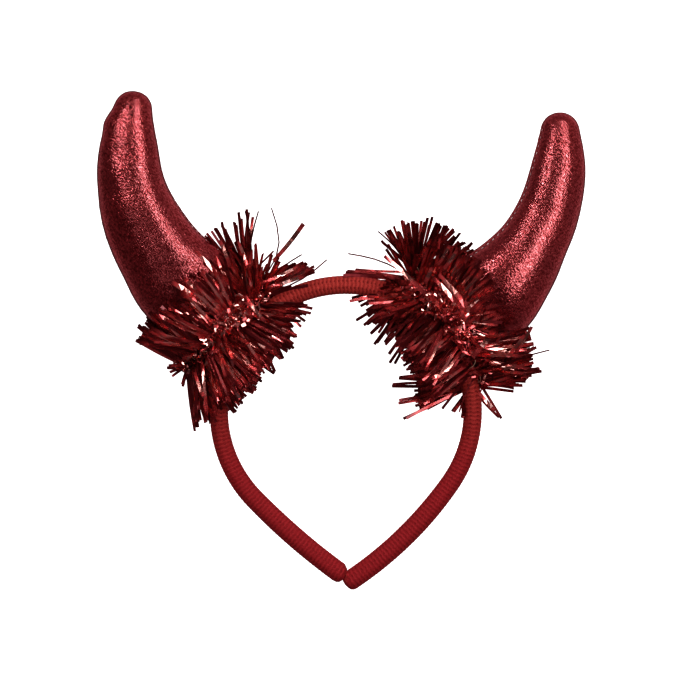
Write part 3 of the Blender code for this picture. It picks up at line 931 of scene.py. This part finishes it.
# %% Outline of each tuft
OUTLINES = {
    "tinsel_left": (
        (197, 430), (209, 421), (236, 414), (255, 397), (277, 377), (286, 362), (298, 339), (309, 318),
        (316, 300), (313, 288), (320, 270), (306, 260), (286, 263), (272, 248), (262, 226), (250, 209),
        (238, 210), (222, 220), (204, 232), (199, 247), (184, 268), (171, 284), (157, 300), (137, 322),
        (134, 342), (155, 350), (165, 366), (171, 379), (181, 389), (190, 410)),
    "tinsel_right": (
        (342, 272), (349, 301), (355, 323), (370, 340), (383, 349), (386, 357), (396, 373), (389, 386),
        (396, 403), (404, 420), (430, 409), (455, 417), (464, 419), (482, 406), (501, 420), (508, 398),
        (526, 384), (543, 372), (543, 350), (532, 320), (513, 326), (500, 306), (504, 285), (494, 268),
        (480, 253), (473, 241), (456, 226), (437, 220), (414, 217), (402, 220), (387, 226), (378, 240),
        (383, 262), (364, 266), (347, 267)),
}
BARE = {
    "tinsel_left": ((293, 276), (320, 268), (320, 296), (296, 302)),
    "tinsel_right": ((340, 268), (370, 272), (368, 296), (340, 296)),
}


def inside(outline, place):
    """Whether a place lies inside an outline given by pixels, seen from above."""
    across = place.x / PIXEL + PIXEL_OVER_ORIGIN[0]
    down = PIXEL_OVER_ORIGIN[1] - place.y / PIXEL
    crossings = 0
    for (x0, y0), (x1, y1) in zip(outline, outline[1:] + outline[:1]):
        if (y0 > down) != (y1 > down) and across < x0 + (down - y0) * (x1 - x0) / (y1 - y0):
            crossings += 1
    return crossings % 2 == 1


# %% [markdown]
# ## Tinsel: the strips
#
# A strip is flat foil, a millimetre and a half wide and three centimetres long, cut blunt. One
# strip is modelled as a grid with a little thickness. Each copy is laid along its own path: it
# leaves the core square to it, bends a little, and slides along whatever it meets. A random
# number goes with each strip, its shade, so that the finish can make every one a little different:
# a painted reflection, darker or brighter by how much light the strip would mirror. The shade is
# lower near the core, painted shade where less light reaches the foil, and at the tip, a painted
# dark reflection.

# %% Model one strip
STRIP_WIDTH = 1.4 * MM
STRIP_LENGTH = 31.5 * MM
STRIP_THICKNESS = 0.06 * MM
STRIP_STEPS = 5
STRIP_CLEARANCE = 0.5 * MM
# Painted shade along a strip: darker at the root, and a painted dark reflection at the tip.
SHADE_ALONG = (0.45, 0.70, 0.95, 1.0, 0.95, 0.35)
bpy.ops.object.select_all(action="DESELECT")
bpy.ops.mesh.primitive_grid_add(x_subdivisions=1, y_subdivisions=STRIP_STEPS, size=1.0)
strip = bpy.context.object
apply_modifier(strip, "SOLIDIFY", thickness=STRIP_THICKNESS, offset=0.0)
strip_places = corners_of(strip)
strip_faces = [list(face.vertices) for face in strip.data.polygons]
bpy.data.objects.remove(strip)
print("a strip has", len(strip_faces), "faces")

Path = namedtuple("Path", "places sides width shade")


def ahead_at(places, i):
    """Direction of a strip's path at one of its places."""
    return (places[min(i + 1, STRIP_STEPS)] - places[max(i - 1, 0)]).normalized()


def strip_path(root, heading, side, length, bend, width, shade):
    """Lay a strip from its root along a heading, sliding along what it meets."""
    places, sides, step = [root], [], length / STRIP_STEPS
    for _ in range(STRIP_STEPS):
        ahead = settle(places[-1] + heading * step, STRIP_CLEARANCE)
        heading = (ahead - places[-1]).normalized()
        places.append(ahead)
        heading = (heading + bend / STRIP_STEPS).normalized()
    for i in range(STRIP_STEPS + 1):
        ahead = ahead_at(places, i)
        side = (side - ahead * side.dot(ahead)).normalized()
        sides.append(side)
    return Path(places, sides, width, shade)


def strips_along(paths):
    """One piece with a copy of the strip along each path."""
    row = np.rint((strip_places[:, 1] + 0.5) * STRIP_STEPS).astype(int)
    corners, faces, shades = [], [], []
    for k, path in enumerate(paths):
        for i, (x, _, z) in zip(row, strip_places):
            side = path.sides[i]
            thick = side.cross(ahead_at(path.places, i)) * z
            corners.append(path.places[i] + side * (x * path.width) + thick)
            shades.append(min(path.shade * SHADE_ALONG[i], 1.0))
        faces += [[i + k * len(strip_places) for i in face] for face in strip_faces]
    piece = add_piece(corners, faces)
    piece.data.attributes.new("shade", "FLOAT", "POINT").data.foreach_set("value", shades)
    return piece


# %% [markdown]
# Real strips do not stand singly. The film is slit in sheets, so strips leave the core in small
# fans that share a heading, a twist and a shine, the shine a painted reflection in their shade. A
# fan is placed at a random turn round the core, unless it would point into a horn, and each of its
# strips strays a little from it.

# %% Sizes of the fans
FANS = 210
FAN_SIZES = (3, 4, 5, 5, 6, 7, 8)
FAN_SPACING = 1.3 * MM
FAN_SPREAD = 3.0
FAN_LEAN = 14.0
FAN_TWIST = 30.0
FAN_BEND = 0.08
FAN_LENGTHS = (0.88, 1.0)
FAN_REACH = 0.95 * STRIP_LENGTH
STRIP_LENGTHS = (0.95, 1.03)
STRIP_WIDTHS = (0.9, 1.1)
STRIP_STRAY = 3.5
STRIP_TWIST = 12.0
SHADE_STRAY = 0.2
ROOM = 7 * MM
MOST_PUSHED = 1.5 * MM
TRIES = 40
UPRIGHT = 0.6
UPRIGHT_SHARE = 0.25
LEAST_LEVEL = 0.4
GLINT_SHARE = 0.45
GLINT_FORWARD = 0.22
GLINT_STRAY = 0.03
GLINT_PLACES = (0.3, 0.9)
GLINT_TWIST = math.radians(42.0)
DULL = 0.82
half_key_lean = math.radians(SOFTBOXES[0].lean) / 2
glint = Vector((math.sin(half_key_lean), GLINT_FORWARD, math.cos(half_key_lean))).normalized()
print("strips glint when they face", [round(part, 2) for part in glint])


def has_room(root, heading):
    ahead = root + heading * ROOM
    return (settle(ahead, MM) - ahead).length < MOST_PUSHED


def leave_core(line, i, turn, lean):
    """Heading of a strip that leaves the core at a turn round it, leaning along it."""
    along_core = (line[(i + 2) % CORE_POINTS] - line[i - 2]).normalized()
    level = along_core.cross(UP).normalized()
    heading = level * math.cos(turn) + along_core.cross(level) * math.sin(turn)
    return (heading * math.cos(lean) + along_core * math.sin(lean)).normalized(), along_core


def lie_flat(heading, along_core, twist):
    """Width direction of a strip that faces the camera, but for a twist in degrees."""
    level = heading.cross(UP)
    side = level.normalized() if level.length > LEAST_LEVEL else along_core
    return Matrix.Rotation(math.radians(twist), 3, heading) @ side


def stray(scatter, amount):
    return Vector([scatter.gauss(0, amount) for _ in range(3)])


def glinting(path, scatter):
    """The same strip turned so that a part of it mirrors the key softbox."""
    place, sides = scatter.uniform(*GLINT_PLACES), []
    for k in range(STRIP_STEPS + 1):
        ahead = ahead_at(path.places, k)
        facing = ahead.cross(glint + stray(scatter, GLINT_STRAY)).normalized()
        sides.append(Matrix.Rotation(GLINT_TWIST * (k / STRIP_STEPS - place), 3, ahead) @ facing)
    # A shade of 1.0 paints the middle of the strip pale: a painted highlight.
    return Path(path.places, sides, path.width, 1.0)


def choose_turn(line, i, outline, scatter):
    """Turn round the core for a fan, or None when no heading suits."""
    for _ in range(TRIES):
        turn = scatter.uniform(0, 2 * math.pi)
        heading = leave_core(line, i, turn, 0.0)[0]
        if heading.z > UPRIGHT and scatter.random() > UPRIGHT_SHARE:
            continue
        if inside(outline, line[i] + heading * FAN_REACH) and has_room(line[i], heading):
            return turn
    return None


# %% Grow the fans
def grow_fans(line, outline, bare, scatter):
    core_length = sum((line[i] - line[i - 1]).length for i in range(CORE_POINTS))
    spacing = FAN_SPACING * CORE_POINTS / core_length
    paths = []
    for k in range(FANS):
        i = int((k + scatter.random()) * CORE_POINTS / FANS) % CORE_POINTS
        turn = choose_turn(line, i, outline, scatter)
        if turn is None:
            continue
        lean, twist = scatter.gauss(0, FAN_LEAN), scatter.gauss(0, FAN_TWIST)
        bend = stray(scatter, FAN_BEND)
        length = STRIP_LENGTH * scatter.uniform(*FAN_LENGTHS)
        # A fan's shade is painted reflection, shared by its strips.
        shade, size = scatter.random(), scatter.choice(FAN_SIZES)
        for j in range(size):
            offset = j - (size - 1) / 2
            place = round(i + offset * spacing) % CORE_POINTS
            heading, along_core = leave_core(
                line, place, turn + math.radians(scatter.gauss(0, STRIP_STRAY)),
                math.radians(lean + offset * FAN_SPREAD + scatter.gauss(0, STRIP_STRAY)))
            path = strip_path(
                line[place], heading,
                lie_flat(heading, along_core, twist + scatter.gauss(0, STRIP_TWIST)),
                length * scatter.uniform(*STRIP_LENGTHS), bend,
                STRIP_WIDTH * scatter.uniform(*STRIP_WIDTHS),
                min(max(shade * DULL + scatter.gauss(0, SHADE_STRAY), 0), DULL))
            if scatter.random() < GLINT_SHARE:
                path = glinting(path, scatter)
            over_band = any(inside(bare, place) for place in path.places)
            if inside(outline, path.places[-1]) and not over_band:
                paths.append(path)
    return paths


# %% [markdown]
# ## Tinsel: strips that the photo shows one by one
#
# The outline of a tuft is what the eye compares first. So the strips whose tips stand out
# against the white are listed by the pixel of the tip, with a few loose slivers and the strips
# that catch the key softbox. Each grows from the nearest place of its core. A tip has its height
# in millimetres, its width as a share of a strip's, and how far it bows to one side.

# %% Place the outer strips
TIPS = {
    "tinsel_left": (
        (312, 307), (307, 314), (296, 337), (291, 349), (284, 359), (275, 374), (261, 383),
        (254, 392), (243, 402), (235, 412), (217, 420), (208, 418), (197, 428), (174, 285),
        (160, 302), (139, 325), (137, 340), (147, 333), (156, 346), (169, 366), (172, 376),
        (182, 385), (206, 235), (215, 227), (221, 224), (234, 223), (240, 213), (247, 212),
        (307, 265), (316, 271), (311, 288)),
    "tinsel_right": (
        (351, 300), (356, 320), (365, 324), (371, 336), (374, 343), (385, 343), (388, 354),
        (392, 364), (401, 376), (392, 386), (400, 402), (405, 417), (453, 413), (463, 417),
        (500, 417), (530, 323), (536, 348), (540, 368), (540, 371), (382, 242), (389, 229),
        (397, 231), (405, 223), (415, 222), (429, 218), (437, 225), (450, 225), (472, 244),
        (348, 270), (344, 275), (358, 280), (362, 288), (368, 294), (372, 283), (377, 299),
        (385, 289), (366, 302)),
}
STRIPS_PER_TIP = 2
TIP_STRAY = 1.5
TIP_HEIGHTS = (4, 22)
TIP_BOW = 0.02
# Low shades paint the outer strips and the loose slivers dark: a painted dark reflection.
TIP_SHADES = (0.0, 0.6)
STRAY_SHADE = 0.1
Tip = namedtuple("Tip", "across down height width bow")
STRAYS = {
    "tinsel_left": (
        Tip(272, 209, 34, 0.5, 0.16), Tip(246, 212, 34, 0.5, 0.04), Tip(259, 212, 30, 0.5, -0.05),
        Tip(327, 260, 24, 0.5, 0.08), Tip(302, 255, 26, 0.5, -0.06), Tip(137, 339, 12, 1.0, 0.0),
        Tip(198, 427, 8, 0.7, 0.0)),
    "tinsel_right": (
        Tip(348, 254, 24, 0.5, 0.06), Tip(378, 232, 28, 0.5, 0.04), Tip(525, 382, 16, 0.5, 0.02),
        Tip(549, 350, 22, 0.5, -0.04), Tip(459, 412, 22, 0.5, 0.05)),
}
BRIGHT_HEIGHT = 37 * MM
BRIGHT_RISE = 3 * MM
Bright = namedtuple("Bright", "root_across root_down across down width")
BRIGHT = {
    "tinsel_left": (
        Bright(228, 287, 196, 251, 1.3), Bright(222, 291, 203, 271, 1.4),
        Bright(200, 301, 174, 283, 1.8), Bright(202, 297, 186, 279, 1.4),
        Bright(250, 272, 239, 242, 1.2), Bright(231, 268, 221, 241, 1.2),
        Bright(262, 284, 301, 266, 1.1), Bright(268, 288, 306, 276, 1.2),
        Bright(246, 296, 266, 322, 1.2), Bright(214, 352, 233, 345, 1.2),
        Bright(274, 262, 304, 225, 1.5), Bright(196, 372, 205, 396, 1.2),
        Bright(188, 330, 160, 316, 1.4)),
    "tinsel_right": (
        Bright(465, 307, 438, 275, 1.5), Bright(459, 308, 433, 279, 1.4),
        Bright(471, 357, 493, 330, 1.7), Bright(425, 295, 384, 257, 1.3),
        Bright(437, 266, 449, 246, 1.2), Bright(443, 270, 456, 251, 1.2),
        Bright(424, 284, 431, 268, 1.4), Bright(514, 353, 530, 327, 1.1),
        Bright(506, 357, 523, 335, 1.2), Bright(452, 372, 430, 378, 1.4),
        Bright(440, 345, 408, 356, 1.2), Bright(478, 392, 494, 410, 1.2)),
}


def straight_path(root, end, width, bow, shade):
    """Strip from one place to another, flat under the camera and with a little bow."""
    level = (end - root).cross(UP).normalized()
    sideways = level * (end - root).length * bow
    places = [settle(root.lerp(end, k / STRIP_STEPS)
                     + sideways * math.sin(math.pi * k / STRIP_STEPS), STRIP_CLEARANCE)
              for k in range(STRIP_STEPS + 1)]
    return Path(places, [level] * (STRIP_STEPS + 1), STRIP_WIDTH * width, shade)


def reach_tip(line, tip, shade):
    """Strip from the nearest place of the core to a tip."""
    end = spot(tip.across, tip.down, tip.height * MM)
    root = min(line, key=lambda place: (place - end).length)
    return straight_path(root, end, tip.width, tip.bow, shade)


def outer_strips(name, line, scatter):
    paths = []
    for across, down in TIPS[name]:
        for _ in range(STRIPS_PER_TIP):
            tip = Tip(across + scatter.gauss(0, TIP_STRAY), down + scatter.gauss(0, TIP_STRAY),
                      scatter.uniform(*TIP_HEIGHTS), scatter.uniform(*STRIP_WIDTHS),
                      scatter.gauss(0, TIP_BOW))
            paths.append(reach_tip(line, tip, scatter.uniform(*TIP_SHADES)))
    for bright in BRIGHT[name]:
        root = spot(bright.root_across, bright.root_down, BRIGHT_HEIGHT)
        end = spot(bright.across, bright.down, BRIGHT_HEIGHT + BRIGHT_RISE)
        paths.append(glinting(straight_path(root, end, bright.width, TIP_BOW, 1.0), scatter))
    return paths + [reach_tip(line, tip, STRAY_SHADE) for tip in STRAYS[name]]


# %% [markdown]
# ## Tinsel: the crumpled core
#
# Near the core the film is creased, and its facets catch the key softbox. That is where the
# brightest glints are. Short strips with a new facing at every step do this, strewn over the top
# of the core, half of them about the pixel where the photo is brightest. Most facets face halfway
# between the camera and the softbox, give or take. Some crumbs are painted pale all along, a
# painted highlight, more of them in the left tuft than in the right one.

# %% Crumple foil over the core
CRUMBS = 460
Heap = namedtuple("Heap", "across down creased_share")
HEAPS = {"tinsel_left": Heap(243, 303, 0.55), "tinsel_right": Heap(430, 298, 0.25)}
HEAPED_SHARE = 0.5
HEAP_SPREAD = 12
HEAP_STRAY = 2 * MM
LOWEST_CRUMB = 8 * MM
# A shade this high paints a crumb pale all along: a painted highlight.
PAINTED_GLINT_ALL_ALONG = 2.5
CRUMB_STEP = 2.1 * MM
CRUMB_TURN = 0.6
CRUMB_HOLD = 8 * MM
CRUMB_SCATTER = 2.4 * MM
CRUMB_LIFT = 1.5 * CRUMB_SCATTER
CRUMB_WIDTHS = (0.5, 1.1)
CRUMB_SHADES = (0.4, 1.1)
FACET_STRAY = 0.14


def crumple(name, line, scatter):
    """Short creased strips along the core, most of them where the photo shows the brightest."""
    heap = HEAPS[name]
    centre = spot(heap.across, heap.down, BRIGHT_HEIGHT)
    middle = min(range(CORE_POINTS), key=lambda i: (line[i] - centre).length)
    paths = []
    while len(paths) < CRUMBS:
        root = scatter.choice(line)
        if scatter.random() < HEAPED_SHARE:
            root = line[round(scatter.gauss(middle, HEAP_SPREAD)) % CORE_POINTS]
            root = root + stray(scatter, HEAP_STRAY)
        if root.z < LOWEST_CRUMB:
            continue
        places = [settle(root + stray(scatter, CRUMB_SCATTER) + UP * CRUMB_LIFT, MM)]
        heading, sides = stray(scatter, 1.0).normalized(), []
        for _ in range(STRIP_STEPS):
            back = (places[-1] - root) / CRUMB_HOLD
            heading = (heading + stray(scatter, CRUMB_TURN) - back).normalized()
            places.append(settle(places[-1] + heading * CRUMB_STEP, STRIP_CLEARANCE))
            sides.append(heading.cross(glint + stray(scatter, FACET_STRAY)).normalized())
        width = STRIP_WIDTH * scatter.uniform(*CRUMB_WIDTHS)
        has_painted_glint = scatter.random() < heap.creased_share
        paths.append(Path(places, sides + sides[-1:], width,
                          PAINTED_GLINT_ALL_ALONG if has_painted_glint else scatter.uniform(*CRUMB_SHADES)))
    return paths


# %% [markdown]
# ## Tinsel: the threads
#
# Two thin threads twist round each other along the core and hold the strips, one pale and one
# dark. Each is a closed line with a round bevel, turned into a mesh.

# %% Twist the threads
THREAD_RADIUS = 0.22 * MM
THREAD_ORBIT = 2.2 * MM
THREAD_TURNS = 24


def twisted_thread(line, phase):
    bpy.ops.object.select_all(action="DESELECT")
    bpy.ops.curve.primitive_nurbs_path_add()
    thread = bpy.context.object
    thread.data.splines.clear()
    spline = thread.data.splines.new("POLY")
    count = CORE_POINTS * 2
    spline.points.add(count - 1)
    for k, point in enumerate(spline.points):
        i, half = divmod(k, 2)
        middle = line[i].lerp(line[(i + 1) % CORE_POINTS], half / 2)
        out = leave_core(line, i, 2 * math.pi * THREAD_TURNS * k / count + phase, 0.0)[0]
        point.co = (*settle(middle + out * THREAD_ORBIT, THREAD_RADIUS), 1.0)
    spline.use_cyclic_u = True
    thread.data.bevel_depth = THREAD_RADIUS
    thread.data.bevel_resolution = 1
    bpy.ops.object.convert(target="MESH")
    bpy.ops.object.shade_smooth()
    return thread


def thread_finish(name, metallic, roughness, first, second):
    finish = Finish(name, Metallic=metallic)
    fibre = finish.noise(1.5 * MM)
    finish.set(Base_Color=finish.mix(fibre, first, second), Roughness=fibre * 0.2 + roughness)
    return finish


pale_thread = thread_finish("pale_thread", 0.6, 0.3, rgb(0.75, 0.50, 0.35), rgb(0.95, 0.80, 0.65))
dark_thread = thread_finish("dark_thread", 0.0, 0.4, rgb(0.02, 0.004, 0.004), rgb(0.10, 0.015, 0.015))

# %% [markdown]
# ## Foil
#
# The foil is a mirror with a deep red film over it. Each strip reads its own shade, so some are
# darker and some duller: painted reflection and painted shade in the colour, broken by soft blots of
# painted reflection. A fine crinkle breaks the glints. A strip whose shade is above DULL was turned
# to the key softbox. There its colour is painted pale, a painted highlight, and the film is less
# metal and clear-coated, which makes its glint nearly white.

# %% Finish of the foil
foil = Finish("red_foil", Coat_Roughness=0.08, Coat_IOR=2.3)
shade = foil.node("ShaderNodeAttribute", {"attribute_name": "shade"}, output="Fac")
crinkle = foil.noise(4.0 * MM, detail=1.0)
# Soft blots of painted reflection, lighter and darker, over each strip's colour.
painted_reflection_blots = foil.noise(5.0 * MM)
painted_glint = shade.ramp(DULL, 1.0)
red = foil.mix((shade + (painted_reflection_blots - 0.5) * 0.9).ramp(0.05, 0.85),
               rgb(0.19, 0.020, 0.025), rgb(0.92, 0.16, 0.16))
# The pale colour is a painted highlight on strips turned to the key softbox.
foil.set(Base_Color=foil.mix(painted_glint, red, rgb(0.98, 0.46, 0.40)),
         Metallic=painted_glint * 0.28 + 0.72,
         Roughness=0.30 - shade * 0.13,
         Coat_Weight=painted_glint * 0.55 + 0.15,
         Normal=foil.bump(crinkle, 0.3 * MM, 0.5))

# %% Wind the garlands
for seed, name in enumerate(ROUTES):
    scatter = random.Random(seed)
    line = core_line(name)
    strips = (grow_fans(line, OUTLINES[name], BARE[name], scatter)
              + outer_strips(name, line, scatter) + crumple(name, line, scatter))
    print(len(strips), "strips")
    dress(strips_along(strips), name + "_strips", name, foil, name)
    dress(twisted_thread(line, 0.0), name + "_pale_thread", name, pale_thread)
    dress(twisted_thread(line, math.pi), name + "_dark_thread", name, dark_thread)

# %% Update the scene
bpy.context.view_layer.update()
